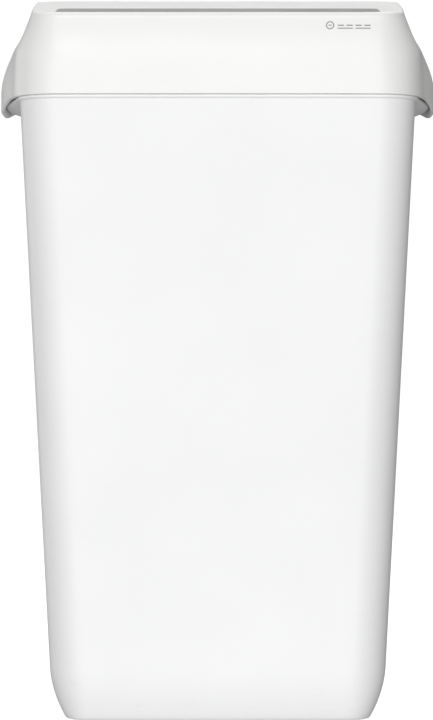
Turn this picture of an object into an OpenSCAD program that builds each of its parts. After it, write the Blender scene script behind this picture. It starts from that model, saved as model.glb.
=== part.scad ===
// Wall-hung or free-standing waste bin with a hinged cover and a sprung inlet flap.
// Millimetres. +X is the bin's width, +Y points to the wall, +Z is up.
// The origin is at the floor, in the middle of the bin's width and depth.

/* [Overall] */
// Height of the cover's highest edge, at the back
total_h = 565.6; // [564:0.2:567]
// Depth from the wall plane to the front of the cover
total_d = 225; // [224:0.5:227]

/* [Bin body] */
// Width of the body just under its rim flange
body_w = 299.4; // [298.4:0.2:300]
// Height of the rim flange's top face
flange_z = 470.7; // [470.2:0.1:471]
// Inward lean of each side wall, per millimetre down
side_draft = 0.05; // [0.045:0.001:0.054]
// Inward lean of the front wall, per millimetre down
front_draft = 0.056; // [0.045:0.001:0.06]
// Thickness of the moulded walls
wall = 2.6; // [2.4:0.1:2.8]
// How far the anti-slip feet hold the body off the floor
foot_stand = 1; // [0.8:0.1:1.4]

/* [Cover] */
// Width of the cover's skirt, without its grip ears
cover_w = 304.4; // [304:0.1:305]
// How far each grip ear stands out from the skirt
ear_out = 15; // [14:0.1:16]
// Slope of the cover's top, falling towards the front
top_tilt = 9.15; // [8.9:0.05:9.3]
// Width of the inlet slot
slot_w = 244; // [240:1:245]
// Depth of the inlet slot, front to back
slot_d = 66; // [63:1:67]

/* [Fittings] */
// Diameter of the two hinge pins
hinge_pin_d = 5; // [4.6:0.1:5.2]
// Distance of each hinge arm from the middle
arm_x = 95; // [80:1:100]
// Diameter of the flap's steel shaft
flap_shaft_d = 3; // [2.8:0.1:3.2]
// Diameter of the bag ring's wire
ring_wire_d = 4.5; // [4:0.1:5]
// Diameter of the holes for the wall screws
wall_hole_d = 6; // [5.5:0.5:7]

/* [Hidden] */
$fn = 48;
eps = 0.01;

half_d = total_d / 2;
white = [0.93, 0.93, 0.92];
grey = [0.62, 0.63, 0.64];
steel = [0.7, 0.71, 0.72];
rubber = [0.15, 0.15, 0.16];

// Points per part of each plan outline
corner_n = 8;
side_n = 14;
front_n = 6;

// Cover
back_gap = 0.3;
cover_back = half_d - back_gap;
back_r = 9;
edge_r = 3;
hinge_y = cover_back - back_r;
hinge_z = total_h - back_r;
skirt_front_z = flange_z + 0.5;
ear_drop = 7.7;
rear_raise = 9;
lean = 0.36;
lean_taper = 0.0036;
lean_h = 30;
lean_blend = 4;
front_lean = 0.252;
front_blend = 20;
front_skirt = 27;
ear_top_z = 518.4;
ear_fall = 41;
ear_half = 98;
ear_ramp = 76;
drop_half = 66;
drop_ramp = 50;
cover_front_r = 32;
cover_back_r = 34;
side_bow = 1.2;
front_bow = 1.5;
slot_y = -67.5;
slot_r = 8;
slot_edge_r = 0.4;

// Body
body_back = half_d;
wall_front_y = -half_d + 3;
flange_out = 1.5;
flange_t = 2;
lip_out = 12;
lip_half = 90;
lip_ramp = 76;
lip_root = 5.5;
spigot_in = 1.7;
spigot_z = flange_z + 5.4;
body_front_r = 29;
body_back_r = 34;
foot_curve_h = 40;
foot_curve_in = 11.2;
foot_front = 0.6;
floor_t = 3.4;

// Inlet flap and its carrier, on axes laid along the cover's sloping top
flap_gap = 0.5;
flap_top = -0.15;
flap_plate_t = 2.2;
flange_top = -wall - 0.3;
flange_low = -4.6;
flap_shift = -0.2;
flange_u = 1.5;
pocket_u = 116;
pocket_v = [-29, 27];
flap_rib_t = 1.6;
flap_rib_u = [-78, -26, 26, 78];
flap_axis_v = slot_d / 2 + 3;
flap_axis_w = -6.2;
flap_barrel_r = 3;
flap_barrel_u = 121;
run_fit = 0.05;
carrier_ear_u = [121.6, 126];
carrier_ear_r = 3.4;
carrier_v = [flap_axis_v + 3.4, flap_axis_v + 12.6];
carrier_w = -8;
carrier_t = 2.4;
carrier_web_t = 1.5;
carrier_screw_u = [-112, -38, 38, 112];
carrier_screw_v = flap_axis_v + 8.8;
spring_half = 5;
spring_wire_r = 0.5;
spring_coil_r = 2.35;
spring_turns = 6;
spring_leg = [3.6, 3.1];

// Hinge arms
arm_w = 12;
arm_t = 5;
arm_low_z = 438;
arm_eye_r = 5.6;
arm_screw_z = [446, 461];
arm_boss_r = 5;
lug_t = 3.4;
lug_gap = 0.6;
lug_r = 6.9;

// Wall holes, feet and bag ring
wall_hole_x = 80;
wall_hole_z = [140, 340];
foot_x = 88;
foot_y = [-52, 88];
foot_r = 8;
foot_recess = 1.2;
ring_z = 466;
ring_half_x = 137;
ring_y = [-96, 88];
ring_r = 26;
rib_t = 3;
rib_y = [-58, 52];

function smooth(t) = let (c = min(1, max(0, t))) c * c * (3 - 2 * c);
function soft_ramp(v, b) = v <= -b ? 0 : v >= b ? v : (v + b) * (v + b) / (4 * b);
function mix(a, b, t) = a + (b - a) * t;
function hump(y, half, ramp) = smooth((half - abs(y)) / ramp);

function arc(cx, cy, r, from) =
    [for (i = [0:corner_n - 1]) let (a = from + 90 * i / corner_n)
        [cx + r * cos(a), cy + r * sin(a)]];
function run(p, q, n) = [for (i = [0:n - 1]) p + (q - p) * i / n];

// A rounded rectangle in plan, anticlockwise from the front left
function plan(w, yf, yb, rf, rb) = concat(
    run([-w + rf, yf], [w - rf, yf], front_n),
    arc(w - rf, yf + rf, rf, -90),
    run([w, yf + rf], [w, yb - rb], side_n),
    arc(w - rb, yb - rb, rb, 0),
    run([w - rb, yb], [-w + rb, yb], front_n),
    arc(-w + rb, yb - rb, rb, 90),
    run([-w, yb - rb], [-w, yf + rf], side_n),
    arc(-w + rf, yf + rf, rf, 180)
);

// The moulded walls bow out slightly between their corners
function bowed(p, w) = [
    p.x * (1 + side_bow * (1 - pow(p.y / half_d, 2)) / w),
    p.y < 0 ? p.y * (1 + front_bow * (1 - pow(p.x / w, 2)) * -p.y / half_d / half_d) : p.y
];

// Triangles between successive rings of n points, each ring inside the last
function band(i, k, n) = [
    for (j = [0:n - 1]) let (a = i * n + j, b = i * n + (j + 1) % n,
                             c = k * n + (j + 1) % n, d = k * n + j)
        each [[a, d, c], [a, c, b]]
];
module ring_solid(rings, closed) {
    n = len(rings[0]);
    m = len(rings);
    sides = [for (i = [0:m - 2]) each band(i, i + 1, n)];
    ends = closed
        ? band(m - 1, 0, n)
        : [[for (j = [0:n - 1]) j], [for (j = [n - 1:-1:0]) (m - 1) * n + j]];
    polyhedron([for (r = rings) each r], concat(sides, ends), convexity = 8);
}

// ---- Cover ----
function top_z(y) = total_h + (min(y, hinge_y) - hinge_y) * tan(top_tilt);
function skirt_z(y) =
    skirt_front_z - ear_drop * hump(y, drop_half, drop_ramp)
    + rear_raise * smooth((y - 56) / 22);
function ear_x(y, z) =
    let (v = min(1, max(0, (ear_top_z - z) / ear_fall)))
    ear_out * hump(y, ear_half, ear_ramp) * sin(90 * v);
function edge_r_at(y) = mix(edge_r, back_r, smooth((y - 84) / 26));

// The side walls lean in less and less towards the back
function side_lean(k, y) = lean * k * (1 - (y + 80) * lean_taper);

// One ring of the cover's wall: s runs 0 to 1 up the skirt and 1 to 2 up the leaning part
lean_top = lean_h + lean_blend;
function cover_ring(s, t) =
    let (q = s <= 1 ? lean_top : lean_top * (2 - s),
         k = soft_ramp(lean_h - q, lean_blend),
         front_q = s <= 1 ? lean_top + front_skirt * (1 - s) : q,
         w = cover_w / 2 - side_bow - t,
         yf = -half_d + front_bow + front_lean * soft_ramp(lean_h - front_q, front_blend) + t,
         shrink = lean * k + t,
         pts = plan(w, yf, cover_back - t, cover_front_r - shrink, cover_back_r - shrink))
    [for (p0 = pts) let (p = bowed(p0, w), top = top_z(p.y) - edge_r_at(p.y),
                         z = s <= 1 ? mix(skirt_z(p.y), top - lean_top + edge_r, s)
                                    : min(top, top - q + edge_r * (2 - s)))
        [p.x * (1 - side_lean(k, p.y) / w)
         + sign(p.x) * ear_x(p.y, z) * smooth((abs(p.x) / w - 0.7) / 0.28), p.y, z]];

// The rounded edge between the wall and the top
function cover_edge(a, t) =
    let (w = cover_w / 2 - side_bow - t,
         yf = -half_d + front_bow + front_lean * lean_h + t,
         shrink = lean * lean_h + t,
         pts = plan(w, yf, cover_back - t, cover_front_r - shrink, cover_back_r - shrink))
    [for (p0 = pts) let (p = bowed(p0, w), r = edge_r_at(p.y) - t,
                         in = max(0, r) * (1 - cos(a)),
                         c = [p.x * (1 - side_lean(lean_h, p.y) / w)
                              - sign(p.x) * in * min(1, pow(abs(p.x) / w, 6)),
                              p.y > 0 ? p.y - in * smooth((p.y - 70) / 42)
                                      : p.y + in * smooth((-p.y - 66) / 38)])
        [c.x, c.y, top_z(c.y) - t - max(0, r) * (1 - sin(a))]];

function slot_ring(grow, drop) =
    [for (p = plan(slot_w / 2 + grow, slot_y - slot_d / 2 - grow, slot_y + slot_d / 2 + grow,
                   slot_r + grow, slot_r + grow))
        [p.x, p.y, top_z(p.y) - drop]];

module cover_form() {
    up = [0, 0.16, 0.3, 0.44, 0.56, 0.68, 0.78, 0.87, 0.94, 1, 1.12, 1.3, 1.6, 2];
    inner_up = [2, 1.4, 1.1, 1, 0.88, 0.74, 0.58, 0.4, 0.2, 0];
    ring_solid(concat(
        [for (s = up) cover_ring(s, 0)],
        [for (a = [22.5:22.5:90]) cover_edge(a, 0)],
        [for (a = [0:45:90])
            slot_ring(slot_edge_r * (1 - sin(a)), slot_edge_r * (1 - cos(a)))],
        [slot_ring(0, wall)],
        [for (a = [90:-30:0]) cover_edge(a, wall)],
        [for (s = inner_up) cover_ring(s, wall)]
    ), true);
}

// Places children on the cover's sloping top, at the middle of the slot
module on_top() {
    translate([0, slot_y, top_z(slot_y)])
        rotate([top_tilt, 0, 0]) children();
}

module carrier_screw_places() {
    on_top()
        for (u = carrier_screw_u) translate([u, carrier_screw_v, 0]) children();
}

module both_arms() {
    for (x = [-arm_x, arm_x]) translate([x, 0, 0]) children();
}

module cover_shell() {
    lug_inner = arm_w / 2 + lug_gap;
    color(white) difference() {
        union() {
            cover_form();
            carrier_screw_places()
                translate([0, 0, carrier_w])
                    cylinder(r = 3.4, h = -carrier_w - wall / 2, $fn = 32);
            both_arms()
                for (s = [0, 1]) mirror([s, 0, 0])
                    translate([lug_inner, hinge_y, hinge_z])
                        rotate([0, 90, 0]) cylinder(r = lug_r, h = lug_t);
        }
        carrier_screw_places()
            translate([0, 0, carrier_w - 1]) cylinder(r = 1.3, h = 6, $fn = 24);
        both_arms() {
            translate([-lug_inner, hinge_y + 1.5, skirt_front_z])
                cube([2 * lug_inner, back_r * 2, hinge_z - skirt_front_z + 3.3]);
            translate([-arm_w, hinge_y, hinge_z])
                rotate([0, 90, 0]) cylinder(d = hinge_pin_d, h = 2 * arm_w, $fn = 32);
        }
    }
}

// ---- Body ----
function wall_half(z) = body_w / 2 - side_bow - side_draft * (flange_z - z);
function wall_front(z) = wall_front_y + front_bow + front_draft * (flange_z - z);
function foot_in(z) =
    z >= foot_curve_h ? 0 : foot_curve_in * pow((foot_curve_h - z) / foot_curve_h, 2);
// One ring of the body at height z, grown by g, with a share e of the handle lips
function body_ring(z, g, e = 0, drop = 0) =
    let (i = foot_in(z),
         w = wall_half(z) - i + g,
         yf = wall_front(z) + foot_front * i - g,
         yb = body_back - i * 0.25 + min(0, g + (g < 0 ? spigot_in * (z > flange_z ? 1 : 0) : 0)),
         rf = max(6, body_front_r - i + g), rb = max(6, body_back_r - i + g))
    [for (p0 = plan(w, yf, yb, rf, rb)) let (p = bowed(p0, w), h = hump(p.y, lip_half, lip_ramp))
        [p.x + sign(p.x) * e * lip_out * h * smooth((abs(p.x) / w - 0.7) / 0.28),
         p.y, z - drop * h]];

module body_form() {
    tip = flange_z - flange_t;
    root = tip - flange_out;
    low = foot_stand;
    ring_solid(concat(
        [body_ring(low, -1.6), body_ring(low + 0.4, -0.6), body_ring(low + 1.2, -0.1)],
        [for (z = [low + 4, 9, 15, 22, 29, foot_curve_h, 120, 240, 360, 440]) body_ring(z, 0)],
        [body_ring(root, 0, 0, lip_root), body_ring(tip - 0.4, flange_out - 0.6, 1, 1.2),
         body_ring(tip + 0.4, flange_out, 1, 1), body_ring(flange_z - 0.5, flange_out, 1),
         body_ring(flange_z, flange_out - 0.6, 1)],
        [body_ring(flange_z, -spigot_in), body_ring(spigot_z - 0.6, -spigot_in),
         body_ring(spigot_z, -spigot_in - 0.6), body_ring(spigot_z, -spigot_in - wall + 0.6)],
        [body_ring(spigot_z - 0.6, -spigot_in - wall), body_ring(flange_z - 3, -spigot_in - wall),
         body_ring(flange_z - 8, -wall)],
        [for (z = [440, 240, foot_curve_h, 22, 12]) body_ring(z, -wall)],
        [body_ring(low + floor_t + 2, -wall - 1), body_ring(low + floor_t, -wall - 4)]
    ), false);
}

module bin_body() {
    color(white) difference() {
        union() {
            body_form();
            both_arms()
                for (z = arm_screw_z)
                    translate([0, hinge_y + arm_t / 2, z]) rotate([-90, 0, 0])
                        cylinder(r = arm_boss_r, h = body_back - hinge_y - arm_t / 2 - 1);
            for (s = [0, 1], y = rib_y) mirror([s, 0, 0])
                translate([0, y + rib_t / 2, 0]) rotate([90, 0, 0])
                    linear_extrude(rib_t)
                        polygon([[ring_half_x - 3, ring_z - ring_wire_d / 2],
                                 [147, ring_z - ring_wire_d / 2],
                                 [145.6, 434], [144.6, 434],
                                 [ring_half_x - 3, ring_z - ring_wire_d / 2 - 5]]);
        }
        both_arms()
            for (z = arm_screw_z)
                translate([0, hinge_y, z]) rotate([-90, 0, 0]) cylinder(r = 1.5, h = 8, $fn = 24);
        for (x = [-wall_hole_x, wall_hole_x], z = wall_hole_z)
            translate([x, body_back + 1, z]) rotate([90, 0, 0])
                cylinder(d = wall_hole_d, h = wall + 2, $fn = 40);
        for (x = [-foot_x, foot_x], y = foot_y)
            translate([x, y, -eps]) cylinder(r = foot_r, h = foot_stand + foot_recess + eps);
    }
}

module foot(x, y) {
    color(rubber)
        translate([x, y, 0]) cylinder(r = foot_r, h = foot_stand + foot_recess);
}
module foot_front_left() { foot(-foot_x, foot_y[0]); }
module foot_front_right() { foot(foot_x, foot_y[0]); }
module foot_rear_left() { foot(-foot_x, foot_y[1]); }
module foot_rear_right() { foot(foot_x, foot_y[1]); }

// ---- Hinge ----
module hinge_arm(x) {
    color(grey) translate([x, hinge_y, 0]) difference() {
        union() {
            translate([-arm_w / 2, -arm_t / 2, arm_low_z])
                cube([arm_w, arm_t, hinge_z - arm_low_z]);
            translate([-arm_w / 2, 0, hinge_z])
                rotate([0, 90, 0]) cylinder(r = arm_eye_r, h = arm_w);
        }
        translate([-arm_w, 0, hinge_z])
            rotate([0, 90, 0]) cylinder(d = hinge_pin_d + 2 * run_fit, h = 2 * arm_w);
        for (z = arm_screw_z)
            translate([0, -arm_t, z]) rotate([-90, 0, 0]) cylinder(r = 1.8, h = 2 * arm_t);
    }
}
module hinge_arm_left() { hinge_arm(-arm_x); }
module hinge_arm_right() { hinge_arm(arm_x); }

module hinge_pin(x) {
    len = arm_w + 2 * (lug_gap + lug_t);
    color(steel) translate([x - len / 2, hinge_y, hinge_z])
        rotate([0, 90, 0]) cylinder(d = hinge_pin_d, h = len, $fn = 32);
}
module hinge_pin_left() { hinge_pin(-arm_x); }
module hinge_pin_right() { hinge_pin(arm_x); }

// A pan-head screw, head down, its shank rising from the origin
module screw(head_r, head_h, shank_r, shank_l, drive_r) {
    difference() {
        union() {
            translate([0, 0, -head_h]) cylinder(r1 = head_r * 0.8, r2 = head_r, h = head_h);
            translate([0, 0, -eps]) cylinder(r = shank_r, h = shank_l, $fn = 24);
        }
        translate([0, 0, -head_h - eps]) cylinder(r = drive_r, h = head_h * 0.7, $fn = 6);
    }
}

module arm_screws() {
    color(steel) both_arms()
        for (z = arm_screw_z)
            translate([0, hinge_y - arm_t / 2, z]) rotate([-90, 0, 0])
                screw(3.4, 2.4, 1.45, 10.2, 1.4);
}

module carrier_screws() {
    color(steel) carrier_screw_places()
        translate([0, 0, carrier_w - carrier_t]) screw(2.8, 2, 1.25, 6.4, 1.2);
}

// ---- Inlet ----
// An upright block with rounded corners: half sizes x and y, corner radius r
module round_block(x, y, r, h) {
    translate([-x, -y + r, 0]) cube([2 * x, 2 * (y - r), h]);
    translate([-x + r, -y, 0]) cube([2 * (x - r), 2 * y, h]);
    for (i = [-1, 1], k = [-1, 1])
        translate([i * (x - r), k * (y - r), 0]) cylinder(r = r, h = h, $fn = 64);
}

// The flap closes flush in the slot; its flanges stop under the slot's side edges
module inlet_flap() {
    half_u = slot_w / 2 - flap_gap;
    half_v = slot_d / 2 - flap_gap - flap_shift;
    pocket_l = pocket_v[1] - pocket_v[0];
    arm_v = pocket_v[1] + 0.3;
    color(grey) on_top() difference() {
        union() {
            difference() {
                translate([0, flap_shift, 0]) {
                    translate([0, 0, flange_top])
                        round_block(half_u, half_v, slot_r - flap_gap, flap_top - flange_top);
                    translate([0, 0, flange_low])
                        round_block(half_u + flange_u, half_v, slot_r, flange_top - flange_low + eps);
                }
                translate([-pocket_u, pocket_v[0], flange_low - 1])
                    cube([2 * pocket_u, pocket_l, flap_top - flap_plate_t - flange_low + 1]);
            }
            for (u = flap_rib_u)
                translate([u - flap_rib_t / 2, pocket_v[0] - 1, flange_low])
                    cube([flap_rib_t, pocket_l + 2, flap_top - 1 - flange_low]);
            translate([-flap_barrel_u, arm_v, flange_low])
                cube([2 * flap_barrel_u, flap_axis_v - arm_v, flange_top - flange_low - 0.2]);
            translate([-flap_barrel_u, flap_axis_v, flap_axis_w])
                rotate([0, 90, 0]) cylinder(r = flap_barrel_r, h = 2 * flap_barrel_u);
        }
        translate([-spring_half, flap_axis_v - 8, flap_axis_w - 6])
            cube([2 * spring_half, 16, 6 + flange_top - flap_axis_w - 0.1]);
        translate([-flap_barrel_u - 1, flap_axis_v, flap_axis_w])
            rotate([0, 90, 0]) cylinder(d = flap_shaft_d, h = 2 * flap_barrel_u + 2, $fn = 32);
    }
}

module flap_shaft() {
    half = carrier_ear_u[1];
    color(steel) on_top() translate([-half, flap_axis_v, flap_axis_w])
        rotate([0, 90, 0]) cylinder(d = flap_shaft_d, h = 2 * half, $fn = 32);
}

// The bar under the cover's top that holds the flap's shaft
module flap_carrier() {
    ear_t = carrier_ear_u[1] - carrier_ear_u[0];
    reach = carrier_v[1] - carrier_v[0];
    color(grey) on_top() difference() {
        union() {
            translate([-carrier_ear_u[1], carrier_v[0], carrier_w - carrier_t])
                cube([2 * carrier_ear_u[1], reach, carrier_t]);
            translate([-carrier_ear_u[1], carrier_v[0], carrier_w - eps])
                cube([2 * carrier_ear_u[1], carrier_web_t, 4]);
            for (s = [0, 1]) mirror([s, 0, 0]) {
                translate([carrier_ear_u[0], flap_axis_v, flap_axis_w])
                    rotate([0, 90, 0]) cylinder(r = carrier_ear_r, h = ear_t);
                translate([carrier_ear_u[0], flap_axis_v, carrier_w - carrier_t])
                    cube([ear_t, carrier_v[0] - flap_axis_v + carrier_web_t,
                          flap_axis_w - carrier_w + carrier_t + 2]);
            }
        }
        for (u = carrier_screw_u)
            translate([u, carrier_screw_v, carrier_w - carrier_t - 1])
                cylinder(r = 1.6, h = carrier_t + 2, $fn = 24);
        translate([-carrier_ear_u[1] - 1, flap_axis_v, flap_axis_w])
            rotate([0, 90, 0])
                cylinder(d = flap_shaft_d + 2 * run_fit, h = 2 * carrier_ear_u[1] + 2, $fn = 32);
    }
}

// A torsion spring: close turns round the shaft, one leg to the carrier, one to the flap
module flap_spring() {
    pitch = 2 * spring_wire_r + 0.02;
    span = pitch * (spring_turns - 1);
    color(steel) on_top() translate([0, flap_axis_v, flap_axis_w]) {
        for (i = [0:spring_turns - 1])
            translate([i * pitch - span / 2, 0, 0])
                rotate([0, 90, 0]) rotate_extrude($fn = 28)
                    translate([spring_coil_r, 0]) circle(r = spring_wire_r + 0.02, $fn = 14);
        translate([-span / 2, -spring_leg[0], spring_coil_r])
            rotate([-90, 0, 0]) cylinder(r = spring_wire_r, h = spring_leg[0], $fn = 14);
        translate([span / 2, 0, -spring_coil_r])
            rotate([-90, 0, 0]) cylinder(r = spring_wire_r, h = spring_leg[1], $fn = 14);
    }
}

// ---- Bag ring ----
module ring_wire(from, to) {
    d = to - from;
    translate(from) rotate([0, 90, atan2(d.y, d.x)])
        cylinder(d = ring_wire_d, h = norm(d), $fn = 20);
}
module bag_ring() {
    x = ring_half_x;
    y0 = ring_y[0];
    y1 = ring_y[1];
    r = ring_r;
    color(steel) translate([0, 0, ring_z]) {
        ring_wire([-x + r, y0, 0], [x - r, y0, 0]);
        ring_wire([-x + r, y1, 0], [x - r, y1, 0]);
        ring_wire([-x, y0 + r, 0], [-x, y1 - r, 0]);
        ring_wire([x, y0 + r, 0], [x, y1 - r, 0]);
        for (c = [[x - r, y1 - r, 0], [-x + r, y1 - r, 90], [-x + r, y0 + r, 180],
                  [x - r, y0 + r, 270]])
            translate([c[0], c[1], 0]) rotate([0, 0, c[2]])
                rotate_extrude(angle = 90, $fn = 64)
                    translate([r, 0]) circle(d = ring_wire_d, $fn = 20);
    }
}

bin_body();
cover_shell();
flap_carrier();
inlet_flap();
flap_shaft();
flap_spring();
carrier_screws();
hinge_arm_left();
hinge_arm_right();
hinge_pin_left();
hinge_pin_right();
arm_screws();
bag_ring();
foot_front_left();
foot_front_right();
foot_rear_left();
foot_rear_right();
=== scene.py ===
import math

import bmesh
import bpy
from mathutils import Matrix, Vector


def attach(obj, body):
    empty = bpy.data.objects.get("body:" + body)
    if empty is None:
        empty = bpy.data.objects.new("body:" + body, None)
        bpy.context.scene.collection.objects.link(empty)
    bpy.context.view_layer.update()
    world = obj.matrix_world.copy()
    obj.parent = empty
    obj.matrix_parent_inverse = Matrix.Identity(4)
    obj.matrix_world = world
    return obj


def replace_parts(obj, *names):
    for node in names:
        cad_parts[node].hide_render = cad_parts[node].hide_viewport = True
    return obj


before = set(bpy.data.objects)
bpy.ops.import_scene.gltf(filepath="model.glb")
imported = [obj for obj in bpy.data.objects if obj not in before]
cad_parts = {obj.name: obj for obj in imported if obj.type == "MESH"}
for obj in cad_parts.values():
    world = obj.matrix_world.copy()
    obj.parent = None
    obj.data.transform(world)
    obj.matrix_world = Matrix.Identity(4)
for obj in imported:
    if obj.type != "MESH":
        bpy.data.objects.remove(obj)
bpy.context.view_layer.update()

MM = 0.001

# ---- Sizes of the moulded shells, in millimetres, as in the CAD model ----
TOTAL_H, TOTAL_D = 565.6, 225.0
BODY_W, FLANGE_Z, WALL, FOOT_STAND = 299.4, 470.7, 2.6, 1.0
SIDE_DRAFT, FRONT_DRAFT = 0.05, 0.056
COVER_W, EAR_OUT, TOP_TILT = 304.4, 15.0, math.radians(9.15)
SLOT_W, SLOT_D, SLOT_Y, SLOT_R = 244.0, 66.0, -67.5, 8.0
HALF_D = TOTAL_D / 2
COVER_BACK = HALF_D - 0.3
BACK_R, EDGE_R = 9.0, 3.0
HINGE_Y, HINGE_Z = COVER_BACK - BACK_R, TOTAL_H - BACK_R
SKIRT_Z, EAR_DROP, REAR_RAISE = 470.85, 7.7, 9.0
LEAN, LEAN_TAPER, LEAN_H, LEAN_BLEND = 0.36, 0.0036, 30.0, 4.0
FRONT_LEAN, FRONT_BLEND, FRONT_SKIRT = 0.252, 20.0, 27.0
EAR_TOP_Z, EAR_FALL, EAR_HALF, EAR_RAMP = 518.4, 41.0, 98.0, 76.0
DROP_HALF, DROP_RAMP = 66.0, 50.0
COVER_FRONT_R, COVER_BACK_R = 32.0, 34.0
SIDE_BOW, FRONT_BOW = 1.2, 1.5
SLOT_EDGE_R = 0.4
WALL_FRONT_Y = -HALF_D + 3
FLANGE_OUT, FLANGE_T = 1.5, 2.0
LIP_OUT, LIP_HALF, LIP_RAMP, LIP_ROOT = 12.0, 90.0, 76.0, 5.5
SPIGOT_IN, SPIGOT_Z = 1.7, FLANGE_Z + 5.4
BODY_FRONT_R, BODY_BACK_R = 29.0, 34.0
FOOT_CURVE_H, FOOT_CURVE_IN, FOOT_FRONT, FLOOR_T = 40.0, 11.2, 0.6, 3.4
ARM_X, ARM_W, ARM_T, LUG_GAP = 95.0, 12.0, 5.0, 0.6
REAR_RAISE_Y, REAR_RAISE_RAMP = 56, 22
BACK_EDGE_Y, BACK_EDGE_RAMP = 84, 26
LEAN_START_Y = 80
# The ears and lips grow over the outer part of the half width
EAR_FROM, EAR_SPREAD = 0.7, 0.28

# ---- Lugs, windows, holes and ribs, in millimetres ----
LUG_R, LUG_T = 6.9, 3.4
WINDOW_Y, WINDOW_Z = (1.5, 19), (-4, 3.3)
CARRIER_SCREW_X, CARRIER_SCREW_ALONG = (-112, -38, 38, 112), 44.8
CARRIER_BOSS_R, CARRIER_BOSS_TOP, CARRIER_BOSS_FOOT = 3.4, 1.3, 8
WALL_HOLE_X, WALL_HOLE_Z, WALL_HOLE_R = 80, (140, 340), 3.0
FOOT_X, FOOT_Y, FOOT_R, FOOT_RECESS = 88, (-52, 88), 8.0, 2.2
ARM_SCREW_Z, ARM_BOSS_R = (446, 461), 5.0
RIB_Y, RIB_T = (-58, 52), 3
RIB_PROFILE = [(134, 463.75), (147, 463.75), (145.6, 434), (144.6, 434), (134, 458.75)]

# ---- Printed mark, in millimetres ----
MARK_X, MARK_Z, MARK_LIFT = 80.5, 522.3, 0.06
MARK_RING_OUT, MARK_RING_IN, MARK_RING_N = 3.1, 2.35, 48
MARK_DASH, MARK_HALF_T, MARK_GAP = 1.1, 0.4, 2.6
MARK_BARS, MARK_BAR_STEP, MARK_BAR_L = 4, 6.6, 4.6
MARK_RULES, MARK_RULE_STEP, MARK_RULE_L, MARK_RULE_Z = 2, 13.2, 11.2, (2.6, 1.9)

# ---- Camera, in millimetres ----
CAMERA_AWAY, CAMERA_EYE, CAMERA_SIDE = 2200.0, 273.1, -0.9649
LENS, SENSOR = 148.2, 36.0

# Points along each part of a plan outline
CORNER_N, SIDE_N, FRONT_N = 20, 48, 24


def smooth(t):
    c = min(1.0, max(0.0, t))
    return c * c * (3 - 2 * c)


def soft_ramp(v, b):
    if v <= -b:
        return 0.0
    return v if v >= b else (v + b) * (v + b) / (4 * b)


def mix(a, b, t):
    return a + (b - a) * t


def hump(y, half, ramp):
    return smooth((half - abs(y)) / ramp)


def plan(w, yf, yb, rf, rb):
    """A rounded rectangle in plan, anticlockwise from the front left."""
    def run(p, q, n):
        return [(mix(p[0], q[0], i / n), mix(p[1], q[1], i / n)) for i in range(n)]

    def arc(cx, cy, r, start):
        steps = (math.radians(start + 90 * i / CORNER_N) for i in range(CORNER_N))
        return [(cx + r * math.cos(a), cy + r * math.sin(a)) for a in steps]

    return (run((-w + rf, yf), (w - rf, yf), FRONT_N) + arc(w - rf, yf + rf, rf, -90)
            + run((w, yf + rf), (w, yb - rb), SIDE_N) + arc(w - rb, yb - rb, rb, 0)
            + run((w - rb, yb), (-w + rb, yb), FRONT_N) + arc(-w + rb, yb - rb, rb, 90)
            + run((-w, yb - rb), (-w, yf + rf), SIDE_N) + arc(-w + rf, yf + rf, rf, 180))


def bowed(p, w):
    """The moulded walls bow out slightly between their corners."""
    x = p[0] * (1 + SIDE_BOW * (1 - (p[1] / HALF_D) ** 2) / w)
    y = p[1]
    if y < 0:
        y *= 1 + FRONT_BOW * (1 - (x / w) ** 2) * -y / HALF_D / HALF_D
    return x, y


def sign(v):
    return (v > 0) - (v < 0)


# ---- Cover ----
def top_z(y):
    return TOTAL_H + (min(y, HINGE_Y) - HINGE_Y) * math.tan(TOP_TILT)


def skirt_z(y):
    return (SKIRT_Z - EAR_DROP * hump(y, DROP_HALF, DROP_RAMP)
            + REAR_RAISE * smooth((y - REAR_RAISE_Y) / REAR_RAISE_RAMP))


def outer_part(x, w):
    """0 over the middle of the width, 1 at the side walls."""
    return smooth((abs(x) / w - EAR_FROM) / EAR_SPREAD)


def ear_x(y, z):
    v = min(1.0, max(0.0, (EAR_TOP_Z - z) / EAR_FALL))
    return EAR_OUT * hump(y, EAR_HALF, EAR_RAMP) * math.sin(math.pi / 2 * v)


def edge_r_at(y):
    return mix(EDGE_R, BACK_R, smooth((y - BACK_EDGE_Y) / BACK_EDGE_RAMP))


LEAN_TOP = LEAN_H + LEAN_BLEND


def side_lean(k, y):
    """The side walls lean in less and less towards the back."""
    return LEAN * k * (1 - (y + LEAN_START_Y) * LEAN_TAPER)


def front_face(front_q):
    """How far back the front face stands, front_q below the top edge."""
    return -HALF_D + FRONT_BOW + FRONT_LEAN * soft_ramp(LEAN_H - front_q, FRONT_BLEND)


def cover_ring(s, t, lift=0.0):
    """One ring of the cover, t inside its outer face: skirt for s to 1, leaning wall to 2."""
    q = LEAN_TOP if s <= 1 else LEAN_TOP * (2 - s)
    k = soft_ramp(LEAN_H - q, LEAN_BLEND)
    w = COVER_W / 2 - SIDE_BOW - t
    yf = front_face(LEAN_TOP + FRONT_SKIRT * (1 - s) if s <= 1 else q) + t
    ring = []
    shrink = LEAN * k + t
    for p0 in plan(w, yf, COVER_BACK - t, COVER_FRONT_R - shrink, COVER_BACK_R - shrink):
        x, y = bowed(p0, w)
        top = top_z(y) - edge_r_at(y)
        if s <= 1:
            z = mix(skirt_z(y), top - LEAN_TOP + EDGE_R, s) + lift
        else:
            z = min(top, top - q + EDGE_R * (2 - s))
        ear = sign(x) * ear_x(y, z) * outer_part(x, w)
        ring.append((x * (1 - side_lean(k, y) / w) + ear, y, z))
    return ring


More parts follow.
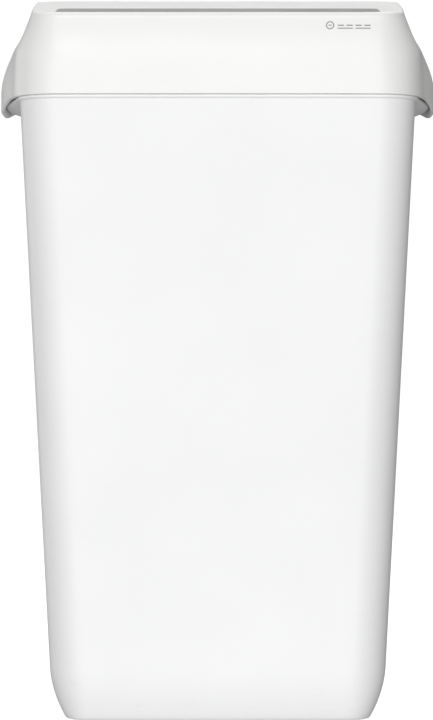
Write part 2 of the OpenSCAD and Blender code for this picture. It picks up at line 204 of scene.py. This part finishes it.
def cover_edge(degrees, t):
    """One ring round the top edge's rounding, t inside its outer face."""
    a = math.radians(degrees)
    w = COVER_W / 2 - SIDE_BOW - t
    yf = front_face(0) + t
    shrink = LEAN * LEAN_H + t
    ring = []
    for p0 in plan(w, yf, COVER_BACK - t, COVER_FRONT_R - shrink, COVER_BACK_R - shrink):
        x, y = bowed(p0, w)
        r = max(0.0, edge_r_at(y) - t)
        back = r * (1 - math.cos(a))
        cx = (x * (1 - side_lean(LEAN_H, y) / w)
              - sign(x) * back * min(1.0, (abs(x) / w) ** 6))
        if y > 0:
            cy = y - back * smooth((y - 70) / 42)
        else:
            cy = y + back * smooth((-y - 66) / 38)
        ring.append((cx, cy, top_z(cy) - t - r * (1 - math.sin(a))))
    return ring


def slot_ring(grow, drop):
    """The slot's outline, grown outwards and dropped below the sloping top."""
    return [(x, y, top_z(y) - drop) for x, y in
            plan(SLOT_W / 2 + grow, SLOT_Y - SLOT_D / 2 - grow, SLOT_Y + SLOT_D / 2 + grow,
                 SLOT_R + grow, SLOT_R + grow)]


def between(ring_a, ring_b, t):
    return [tuple(mix(a, b, t) for a, b in zip(p, q)) for p, q in zip(ring_a, ring_b)]


def steps(a, b, n):
    return [mix(a, b, i / n) for i in range(n + 1)]


def cover_rings():
    up = steps(0.05, 1, 22) + steps(1.06, 2, 16)
    down = steps(2, 1.06, 10) + steps(1, 0, 14)
    rings = [cover_ring(0, 0.9), cover_ring(0, 0.4, 0.12), cover_ring(0, 0.12, 0.4),
             cover_ring(0, 0, 0.9)]
    rings += [cover_ring(s, 0) for s in up]
    rings += [cover_edge(a, 0) for a in steps(11.25, 90, 7)]
    slot_rim = slot_ring(SLOT_EDGE_R, 0)
    rings += [between(rings[-1], slot_rim, t) for t in (0.04, 0.5, 0.97)]
    rings += [slot_rim]
    rings += [slot_ring(SLOT_EDGE_R * (1 - math.sin(math.radians(a))),
                        SLOT_EDGE_R * (1 - math.cos(math.radians(a))))
              for a in steps(22.5, 90, 3)]
    rings += [slot_ring(0, WALL)]
    rings += [cover_edge(a, WALL) for a in steps(90, 0, 5)]
    rings += [cover_ring(s, WALL) for s in down]
    return rings


# ---- Body ----
def foot_in(z):
    if z >= FOOT_CURVE_H:
        return 0.0
    return FOOT_CURVE_IN * ((FOOT_CURVE_H - z) / FOOT_CURVE_H) ** 2


def body_ring(z, g, e=0.0, drop=0.0):
    """One ring of the body, g outside its outer face, with e of the lifting lips."""
    i = foot_in(z)
    w = BODY_W / 2 - SIDE_BOW - SIDE_DRAFT * (FLANGE_Z - z) - i + g
    yf = WALL_FRONT_Y + FRONT_BOW + FRONT_DRAFT * (FLANGE_Z - z) + FOOT_FRONT * i - g
    inward = SPIGOT_IN if g < 0 and z > FLANGE_Z else 0.0
    yb = HALF_D - i * 0.25 + min(0.0, g + inward)
    ring = []
    for p0 in plan(w, yf, yb, max(6, BODY_FRONT_R - i + g), max(6, BODY_BACK_R - i + g)):
        x, y = bowed(p0, w)
        h = hump(y, LIP_HALF, LIP_RAMP)
        x += sign(x) * e * LIP_OUT * h * outer_part(x, w)
        ring.append((x, y, z - drop * h))
    return ring


def body_rings():
    tip = FLANGE_Z - FLANGE_T
    root = tip - FLANGE_OUT
    low = FOOT_STAND
    rings = [body_ring(low, -1.6), body_ring(low + 0.12, -1.1), body_ring(low + 0.45, -0.5),
             body_ring(low + 1.2, -0.08)]
    rings += [body_ring(z, 0) for z in steps(low + 4, FOOT_CURVE_H, 16)]
    rings += [body_ring(z, 0) for z in steps(60, 455, 12)]
    rings += [body_ring(root, 0, 0, LIP_ROOT), body_ring(root + 0.5, 0.12, 0.02, LIP_ROOT * 0.9),
              body_ring(tip - 0.4, FLANGE_OUT - 0.6, 1, 1.2),
              body_ring(tip - 0.05, FLANGE_OUT - 0.2, 1, 1.1),
              body_ring(tip + 0.4, FLANGE_OUT, 1, 1), body_ring(FLANGE_Z - 0.6, FLANGE_OUT, 1),
              body_ring(FLANGE_Z - 0.2, FLANGE_OUT - 0.2, 1),
              body_ring(FLANGE_Z, FLANGE_OUT - 0.6, 1)]
    rings += [body_ring(FLANGE_Z, -SPIGOT_IN), body_ring(SPIGOT_Z - 0.6, -SPIGOT_IN),
              body_ring(SPIGOT_Z, -SPIGOT_IN - 0.6), body_ring(SPIGOT_Z, -SPIGOT_IN - WALL + 0.6),
              body_ring(SPIGOT_Z - 0.6, -SPIGOT_IN - WALL),
              body_ring(FLANGE_Z - 3, -SPIGOT_IN - WALL), body_ring(FLANGE_Z - 8, -WALL)]
    rings += [body_ring(z, -WALL) for z in steps(440, 44, 10)]
    rings += [body_ring(z, -WALL) for z in steps(FOOT_CURVE_H, 12, 6)]
    rings += [body_ring(low + FLOOR_T + 3, -WALL - 0.4), body_ring(low + FLOOR_T + 1, -WALL - 1.6),
              body_ring(low + FLOOR_T, -WALL - 4)]
    return rings


def ring_mesh(name, rings, closed):
    n, m = len(rings[0]), len(rings)
    faces = []
    for i in range(m if closed else m - 1):
        k = (i + 1) % m
        for j in range(n):
            j2 = (j + 1) % n
            faces.append((i * n + j, i * n + j2, k * n + j2, k * n + j))
    if not closed:
        faces.append(tuple(range(n - 1, -1, -1)))
        faces.append(tuple((m - 1) * n + j for j in range(n)))
    mesh = bpy.data.meshes.new(name)
    mesh.from_pydata([(x * MM, y * MM, z * MM) for r in rings for x, y, z in r], [], faces)
    mesh.validate()
    mesh.update()
    obj = bpy.data.objects.new(name, mesh)
    bpy.context.collection.objects.link(obj)
    return obj


def finish_mesh(obj, sharp=35):
    mesh = obj.data
    mesh.polygons.foreach_set("use_smooth", [True] * len(mesh.polygons))
    mesh.set_sharp_from_angle(angle=math.radians(sharp))
    mesh.update()
    return obj


def solid(name, build):
    """A new object from a bmesh that build(bm) fills, in millimetres."""
    bm = bmesh.new()
    build(bm)
    bmesh.ops.scale(bm, vec=(MM, MM, MM), verts=bm.verts)
    bmesh.ops.recalc_face_normals(bm, faces=bm.faces)
    mesh = bpy.data.meshes.new(name)
    bm.to_mesh(mesh)
    bm.free()
    obj = bpy.data.objects.new(name, mesh)
    bpy.context.collection.objects.link(obj)
    return obj


def add_box(bm, lo, hi):
    made = bmesh.ops.create_cube(bm, size=1)["verts"]
    centre = [(a + b) / 2 for a, b in zip(lo, hi)]
    bmesh.ops.scale(bm, vec=[b - a for a, b in zip(lo, hi)], verts=made)
    bmesh.ops.translate(bm, vec=centre, verts=made)
    return made


def add_rod(bm, start, end, r, segments=48):
    """A closed cylinder from start to end."""
    a, b = Vector(start), Vector(end)
    made = bmesh.ops.create_cone(bm, cap_ends=True, segments=segments, radius1=r, radius2=r,
                                 depth=(b - a).length)["verts"]
    turn = (b - a).to_track_quat("Z", "Y").to_matrix()
    bmesh.ops.rotate(bm, cent=(0, 0, 0), matrix=turn, verts=made)
    bmesh.ops.translate(bm, vec=(a + b) / 2, verts=made)
    return made


def cut(obj, cutter):
    mod = obj.modifiers.new("cut", "BOOLEAN")
    mod.operation = "DIFFERENCE"
    mod.solver = "EXACT"
    mod.object = cutter
    done = bpy.data.meshes.new_from_object(
        obj.evaluated_get(bpy.context.evaluated_depsgraph_get()))
    obj.modifiers.clear()
    obj.data = done
    bpy.data.objects.remove(cutter)
    return obj


def join(obj, other):
    """Adds other's mesh to obj's."""
    bm = bmesh.new()
    bm.from_mesh(obj.data)
    bm.from_mesh(other.data)
    bm.to_mesh(obj.data)
    bm.free()
    bpy.data.objects.remove(other)
    return obj


# ---- Materials ----
class Nodes:
    def __init__(self, name):
        self.mat = bpy.data.materials.new(name)
        self.mat.use_nodes = True
        self.tree = self.mat.node_tree
        self.tree.nodes.clear()
        self.out = self.add("ShaderNodeOutputMaterial")
        self.shader = self.add("ShaderNodeBsdfPrincipled")
        self.link(self.shader.outputs[0], self.out.inputs[0])
        self.place = self.add("ShaderNodeTexCoord").outputs["Object"]

    def add(self, kind, **values):
        node = self.tree.nodes.new(kind)
        for key, value in values.items():
            setattr(node, key, value)
        return node

    def link(self, a, b):
        self.tree.links.new(a, b)

    def noise(self, scale, detail=3.0, rough=0.5, stretch=None):
        node = self.add("ShaderNodeTexNoise")
        node.inputs["Scale"].default_value = scale
        node.inputs["Detail"].default_value = detail
        node.inputs["Roughness"].default_value = rough
        place = self.place
        if stretch:
            mapping = self.add("ShaderNodeMapping")
            mapping.inputs["Scale"].default_value = stretch
            self.link(place, mapping.inputs["Vector"])
            place = mapping.outputs[0]
        self.link(place, node.inputs["Vector"])
        return node.outputs["Fac"]

    def ranged(self, value, lo, hi, to_lo=0.0, to_hi=1.0):
        node = self.add("ShaderNodeMapRange")
        node.interpolation_type = "SMOOTHSTEP"
        for key, v in (("From Min", lo), ("From Max", hi), ("To Min", to_lo), ("To Max", to_hi)):
            node.inputs[key].default_value = v
        self.link(value, node.inputs["Value"])
        return node.outputs["Result"]

    def math(self, operation, a, b):
        node = self.add("ShaderNodeMath", operation=operation)
        for i, v in enumerate((a, b)):
            if isinstance(v, (int, float)):
                node.inputs[i].default_value = v
            else:
                self.link(v, node.inputs[i])
        return node.outputs[0]

    def mixed(self, factor, a, b):
        node = self.add("ShaderNodeMix", data_type="RGBA")
        self.link(factor, node.inputs["Factor"])
        for key, v in ((6, a), (7, b)):
            if isinstance(v, tuple):
                node.inputs[key].default_value = (*v, 1)
            else:
                self.link(v, node.inputs[key])
        return node.outputs[2]

    def bump(self, height, strength, distance, under=None):
        node = self.add("ShaderNodeBump")
        node.inputs["Strength"].default_value = strength
        node.inputs["Distance"].default_value = distance
        self.link(height, node.inputs["Height"])
        if under is not None:
            self.link(under, node.inputs["Normal"])
        return node.outputs[0]

    def height(self):
        split = self.add("ShaderNodeSeparateXYZ")
        self.link(self.place, split.inputs[0])
        return split.outputs["Z"]


def moulded_white(name, light, shade, marked_z, rough=0.4):
    """Satin white polypropylene: mottling, grain and faint marks, most between marked_z."""
    m = Nodes(name)
    mottle = m.ranged(m.noise(7.0, 2.0), 0.3, 0.7)
    colour = m.mixed(mottle, shade, light)
    specks = m.ranged(m.noise(1400.0, 1.0), 0.72, 0.8, 0.0, 0.12)
    colour = m.mixed(specks, colour, tuple(c * 0.8 for c in shade))
    rub = m.ranged(m.noise(60.0, 5.0, 0.65, (1.0, 1.0, 3.0)), 0.56, 0.74)
    low_down = m.ranged(m.height(), *marked_z, 1.0, 0.0)
    rub = m.math("MULTIPLY", rub, m.math("ADD", m.math("MULTIPLY", low_down, 0.15), 0.04))
    colour = m.mixed(rub, colour, tuple(c * 0.78 for c in shade))
    m.link(colour, m.shader.inputs["Base Color"])
    sheen_patches = m.ranged(m.noise(22.0, 3.0), 0.3, 0.7, rough, rough + 0.06)
    m.link(m.math("ADD", sheen_patches, m.math("MULTIPLY", rub, 0.3)),
           m.shader.inputs["Roughness"])
    grain = m.bump(m.noise(1100.0, 2.0), 0.09, 0.0002)
    sink = m.bump(m.noise(9.0, 1.0), 0.12, 0.0012, grain)
    m.link(sink, m.shader.inputs["Normal"])
    m.shader.inputs["IOR"].default_value = 1.49
    return m.mat


def moulded_grey(name, light, shade, rough=0.38, ior=1.49):
    m = Nodes(name)
    colour = m.mixed(m.ranged(m.noise(12.0, 2.0), 0.3, 0.7), shade, light)
    dust = m.ranged(m.noise(180.0, 4.0, 0.6), 0.55, 0.75, 0.0, 0.25)
    colour = m.mixed(dust, colour, tuple(c * 0.86 for c in shade))
    m.link(colour, m.shader.inputs["Base Color"])
    m.link(m.ranged(m.noise(35.0, 3.0), 0.3, 0.7, rough, rough + 0.12),
           m.shader.inputs["Roughness"])
    m.shader.inputs["IOR"].default_value = ior
    m.link(m.bump(m.noise(1300.0, 2.0), 0.12, 0.0002), m.shader.inputs["Normal"])
    return m.mat


def plated_steel(name):
    """Bright zinc plate: fine drawn lines, cloudy passivation, small dull spots."""
    m = Nodes(name)
    cloud = m.ranged(m.noise(160.0, 3.0), 0.3, 0.7)
    colour = m.mixed(cloud, (0.5, 0.51, 0.52), (0.66, 0.67, 0.69))
    spots = m.ranged(m.noise(700.0, 2.0), 0.66, 0.74, 0.0, 0.5)
    colour = m.mixed(spots, colour, (0.42, 0.42, 0.41))
    m.link(colour, m.shader.inputs["Base Color"])
    m.shader.inputs["Metallic"].default_value = 1.0
    m.link(m.ranged(m.noise(240.0, 3.0), 0.3, 0.7, 0.24, 0.4), m.shader.inputs["Roughness"])
    drawn = m.noise(900.0, 2.0, 0.5, (0.08, 1.0, 1.0))
    m.link(m.bump(drawn, 0.18, 0.00012), m.shader.inputs["Normal"])
    return m.mat


def soft_rubber(name):
    m = Nodes(name)
    colour = m.mixed(m.ranged(m.noise(300.0, 4.0), 0.35, 0.7), (0.03, 0.03, 0.032),
                     (0.06, 0.06, 0.062))
    m.link(colour, m.shader.inputs["Base Color"])
    m.link(m.ranged(m.noise(420.0, 2.0), 0.3, 0.7, 0.7, 0.85), m.shader.inputs["Roughness"])
    m.link(m.bump(m.noise(1500.0, 3.0), 0.3, 0.0002), m.shader.inputs["Normal"])
    return m.mat


def pad_print(name):
    """Thin grey ink with slightly uneven cover."""
    m = Nodes(name)
    worn = m.ranged(m.noise(900.0, 3.0), 0.35, 0.65)
    m.link(m.mixed(worn, (0.2, 0.2, 0.2), (0.27, 0.27, 0.27)), m.shader.inputs["Base Color"])
    m.link(m.ranged(m.noise(500.0), 0.3, 0.7, 0.45, 0.6), m.shader.inputs["Roughness"])
    return m.mat


def paint(obj, material):
    obj.data.materials.clear()
    obj.data.materials.append(material)
    return obj


WHITE_BODY = moulded_white("body_white", (0.865, 0.866, 0.868), (0.845, 0.846, 0.848),
                           (0.004, 0.05))
WHITE_COVER = moulded_white("cover_white", (0.872, 0.870, 0.860), (0.852, 0.850, 0.840),
                            (0.455, 0.475), 0.33)
PALE_GREY = moulded_grey("inner_grey", (0.60, 0.61, 0.61), (0.56, 0.57, 0.57))
# Painted shade: the inlet flap is given a dark grey so the slot looks as dark as the shaded inside
# of the cover.
FLAP_PAINTED_SHADE = moulded_grey("flap_painted_shade_grey", (0.32, 0.32, 0.317), (0.295, 0.295, 0.292), 0.62, 1.36)
STEEL = plated_steel("zinc_plate")
RUBBER = soft_rubber("foot_rubber")
INK = pad_print("grey_ink")


# ---- The cover ----
def make_cover():
    cover = ring_mesh("cover_moulding", cover_rings(), True)

    def windows(bm):
        half = ARM_W / 2 + LUG_GAP
        for x in (-ARM_X, ARM_X):
            add_box(bm, (x - half, HINGE_Y + WINDOW_Y[0], SKIRT_Z + WINDOW_Z[0]),
                    (x + half, HINGE_Y + WINDOW_Y[1], HINGE_Z + WINDOW_Z[1]))
    cut(cover, solid("window_cutter", windows))

    def fixings(bm):
        inner = ARM_W / 2 + LUG_GAP
        for x in (-ARM_X, ARM_X):
            for side in (-1, 1):
                add_rod(bm, (x + side * inner, HINGE_Y, HINGE_Z),
                        (x + side * (inner + LUG_T), HINGE_Y, HINGE_Z), LUG_R, 64)
        tilt = Vector((0, -math.sin(TOP_TILT), math.cos(TOP_TILT)))
        along = Vector((0, math.cos(TOP_TILT), math.sin(TOP_TILT)))
        base = Vector((0, SLOT_Y, top_z(SLOT_Y)))
        for x in CARRIER_SCREW_X:
            at = base + Vector((x, 0, 0)) + along * CARRIER_SCREW_ALONG
            add_rod(bm, at - tilt * CARRIER_BOSS_FOOT, at - tilt * CARRIER_BOSS_TOP,
                    CARRIER_BOSS_R, 40)
    join(cover, solid("fixings", fixings))
    finish_mesh(cover)
    paint(cover, WHITE_COVER)
    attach(cover, "cover")
    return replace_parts(cover, "cover_shell")


# ---- The body ----
def make_body():
    body = ring_mesh("body_moulding", body_rings(), False)

    def holes(bm):
        for x in (-WALL_HOLE_X, WALL_HOLE_X):
            for z in WALL_HOLE_Z:
                add_rod(bm, (x, HALF_D - 5, z), (x, HALF_D + 2, z), WALL_HOLE_R, 48)
        for x in (-FOOT_X, FOOT_X):
            for y in FOOT_Y:
                add_rod(bm, (x, y, -1), (x, y, FOOT_RECESS), FOOT_R, 64)
    cut(body, solid("hole_cutter", holes))

    def fixings(bm):
        for x in (-ARM_X, ARM_X):
            for z in ARM_SCREW_Z:
                add_rod(bm, (x, HINGE_Y + ARM_T / 2, z), (x, HALF_D - 1, z), ARM_BOSS_R, 48)
        for side in (-1, 1):
            for y in RIB_Y:
                a, b = [[bm.verts.new((side * px, y + dy, pz)) for px, pz in RIB_PROFILE]
                        for dy in (-RIB_T / 2, RIB_T / 2)]
                bm.faces.new(a)
                bm.faces.new(b)
                for i in range(len(a)):
                    k = (i + 1) % len(a)
                    bm.faces.new((a[i], a[k], b[k], b[i]))
    join(body, solid("fixings", fixings))
    finish_mesh(body)
    paint(body, WHITE_BODY)
    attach(body, "bin")
    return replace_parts(body, "bin_body")


# ---- The printed mark: a ring and short bars, no lettering ----
def front_y(x, z):
    """The cover's front face at a point of its leaning part."""
    y = -105.0
    w = COVER_W / 2 - SIDE_BOW
    for _ in range(6):
        q = (top_z(y) - EDGE_R - z) / (1 - EDGE_R / LEAN_TOP)
        y = bowed((x, front_face(q)), w)[1]
    return y


def make_mark():
    def shapes(bm):
        def skin(points, faces):
            verts = [bm.verts.new((x, front_y(x, z) - MARK_LIFT, z)) for x, z in points]
            for f in faces:
                bm.faces.new([verts[i] for i in f])

        def bar(xa, xb, za, zb, n=6):
            pts = [(mix(xa, xb, i / n), z) for i in range(n + 1) for z in (za, zb)]
            skin(pts, [(2 * i, 2 * i + 2, 2 * i + 3, 2 * i + 1) for i in range(n)])

        n, centre = MARK_RING_N, MARK_X + MARK_RING_OUT
        ring = []
        for i in range(n):
            a = 2 * math.pi * i / n
            ring += [(centre + r * math.cos(a), MARK_Z + r * math.sin(a))
                     for r in (MARK_RING_OUT, MARK_RING_IN)]
        skin(ring, [(2 * i, 2 * ((i + 1) % n), 2 * ((i + 1) % n) + 1, 2 * i + 1)
                    for i in range(n)])
        za, zb = MARK_Z - MARK_HALF_T, MARK_Z + MARK_HALF_T
        bar(centre - MARK_DASH, centre + MARK_DASH, za, zb)
        start = MARK_X + 2 * MARK_RING_OUT + MARK_GAP
        for i in range(MARK_BARS):
            xa = start + i * MARK_BAR_STEP
            bar(xa, xa + MARK_BAR_L, za, zb)
        for i in range(MARK_RULES):
            xa = start + i * MARK_RULE_STEP
            bar(xa, xa + MARK_RULE_L, MARK_Z - MARK_RULE_Z[0], MARK_Z - MARK_RULE_Z[1])
    mark = solid("printed_mark", shapes)
    for face in mark.data.polygons:
        if face.normal.y > 0:
            face.flip()
    paint(mark, INK)
    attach(mark, "cover")
    return mark


make_cover()
make_body()
make_mark()

FINISH = {
    # The inlet flap's dark grey is painted shade for the slot.
    "flap_carrier": PALE_GREY, "inlet_flap": FLAP_PAINTED_SHADE,
    "hinge_arm_left": PALE_GREY, "hinge_arm_right": PALE_GREY,
    "flap_shaft": STEEL, "flap_spring": STEEL, "carrier_screws": STEEL, "arm_screws": STEEL,
    "hinge_pin_left": STEEL, "hinge_pin_right": STEEL, "bag_ring": STEEL,
    "foot_front_left": RUBBER, "foot_front_right": RUBBER,
    "foot_rear_left": RUBBER, "foot_rear_right": RUBBER,
}
for node_name, material in FINISH.items():
    paint(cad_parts[node_name], material)


# ---- Stage ----
def stage_material(name, colour, glow):
    m = Nodes(name)
    mottle = m.ranged(m.noise(1.5, 2.0), 0.3, 0.7)
    m.link(m.mixed(mottle, tuple(c * 0.99 for c in colour), colour),
           m.shader.inputs["Base Color"])
    m.shader.inputs["Roughness"].default_value = 0.8
    m.shader.inputs["Emission Color"].default_value = (1, 1, 1, 1)
    m.shader.inputs["Emission Strength"].default_value = glow
    return m.mat


def make_stage():
    """A pale round floor that curves up into a pale wall all round."""
    reach, rise, radius, around = 6.0, 8.0, 1.5, 96
    profile = [(0.02, 0.0), (reach - radius, 0.0)]
    for i in range(1, 17):
        a = math.pi / 2 * i / 16
        profile.append((reach - radius + radius * math.sin(a), radius * (1 - math.cos(a))))
    profile.append((reach, rise))
    turns = [2 * math.pi * j / around for j in range(around)]
    verts = [(r * math.cos(t), r * math.sin(t), z) for r, z in profile for t in turns]
    faces = [tuple(range(around))]
    for i in range(len(profile) - 1):
        for j in range(around):
            j2 = (j + 1) % around
            faces.append((i * around + j, i * around + j2,
                          (i + 1) * around + j2, (i + 1) * around + j))
    mesh = bpy.data.meshes.new("studio_sweep")
    mesh.from_pydata(verts, [], faces)
    sweep = bpy.data.objects.new("studio_sweep", mesh)
    bpy.context.collection.objects.link(sweep)
    finish_mesh(sweep, 60)
    paint(sweep, stage_material("sweep_white", (0.35, 0.35, 0.35), 0.95))
    sweep.visible_diffuse = False
    sweep.visible_glossy = False
    sweep.visible_shadow = False


# Name, place, target, size in metres, power in watts
LIGHTS = [
    ("front_box", (-0.25, -3.2, 0.05), (0, 0, 0.3), (3.6, 2.8), 71),
    ("upper_box", (-0.1, -2.9, 1.95), (0, 0, 0.5), (1.2, 0.6), 23.5),
    ("left_box", (-2.3, 1.6, 0.5), (0, 0, 0.3), (1.4, 1.8), 12.5),
    ("top_box", (0, 1.0, 2.7), (0, 0, 0.5), (2.0, 1.6), 36),
    ("back_box", (0, 2.6, 1.9), (0, 0, 0.5), (2.0, 0.8), 4.9),
    ("floor_bounce", (0, -1.0, -0.5), (0, 0, 0.1), (1.6, 0.5), 1.8),
]
WORLD_LEVEL = 0.235


def softbox(name, place, target, size, power):
    light = bpy.data.lights.new(name, "AREA")
    light.shape = "RECTANGLE"
    light.size, light.size_y = size
    light.energy = power
    obj = bpy.data.objects.new(name, light)
    bpy.context.collection.objects.link(obj)
    obj.location = place
    obj.visible_camera = False
    aim = Vector(target) - Vector(place)
    obj.rotation_mode = "QUATERNION"
    obj.rotation_quaternion = aim.to_track_quat("-Z", "Y")


def make_light():
    world = bpy.data.worlds.new("studio")
    bpy.context.scene.world = world
    world.use_nodes = True
    back = world.node_tree.nodes["Background"]
    back.inputs["Color"].default_value = (1, 1, 1, 1)
    back.inputs["Strength"].default_value = WORLD_LEVEL
    for row in LIGHTS:
        softbox(*row)


def make_camera():
    camera = bpy.data.cameras.new("camera")
    camera.sensor_width = SENSOR
    camera.lens = LENS
    camera.clip_start, camera.clip_end = 0.05, 50
    obj = bpy.data.objects.new("camera", camera)
    bpy.context.collection.objects.link(obj)
    obj.location = (CAMERA_SIDE * MM, -(CAMERA_AWAY + HALF_D) * MM, CAMERA_EYE * MM)
    obj.rotation_euler = (math.pi / 2, 0, 0)
    bpy.context.scene.camera = obj


make_stage()
make_light()
make_camera()
view = bpy.context.scene.view_settings
view.view_transform = "Standard"
view.look = "None"
